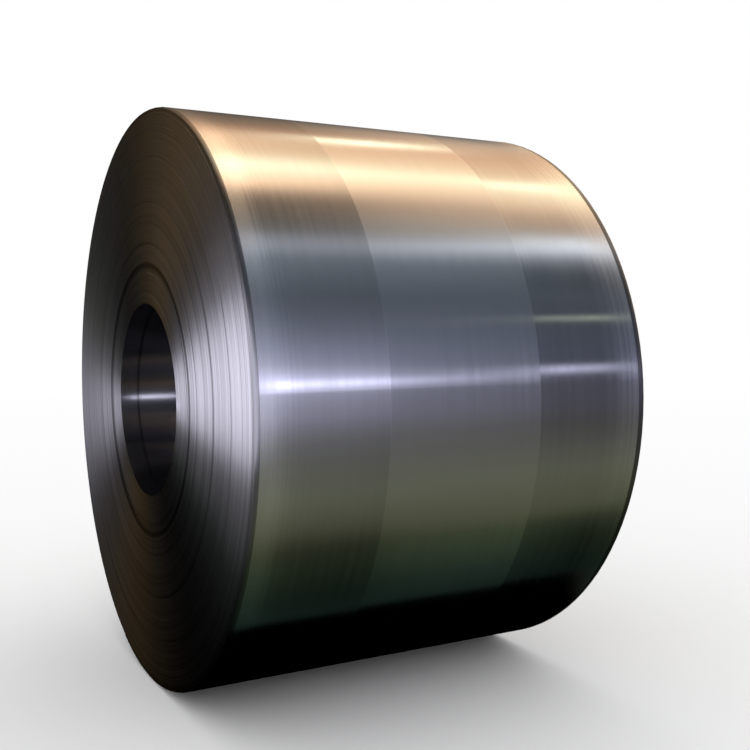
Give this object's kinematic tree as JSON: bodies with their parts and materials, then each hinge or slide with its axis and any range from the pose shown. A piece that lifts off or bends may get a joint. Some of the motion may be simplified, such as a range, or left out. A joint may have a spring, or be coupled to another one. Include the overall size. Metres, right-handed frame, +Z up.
{
  "type": "steel coil",
  "caption": "Coil of bright cold rolled steel strip lying on its side, with a round bore for a mandrel, its wound turns showing on both ends.",
  "frame": {"origin": "on the floor under the middle of the coil, at the line where it rests", "axes": "+X along the bore from the end that faces the viewer to the far end, +Y to the rear, +Z up"},
  "size_m": [1.256, 1.808, 1.8095],
  "materials": {
    "steel_strip": "bright cold rolled strip, lightly oiled, with fine rolling lines round the coil"
  },
  "bodies": {
    "root": {"steel_coil": "steel_strip"}
  },
  "joints": []
}
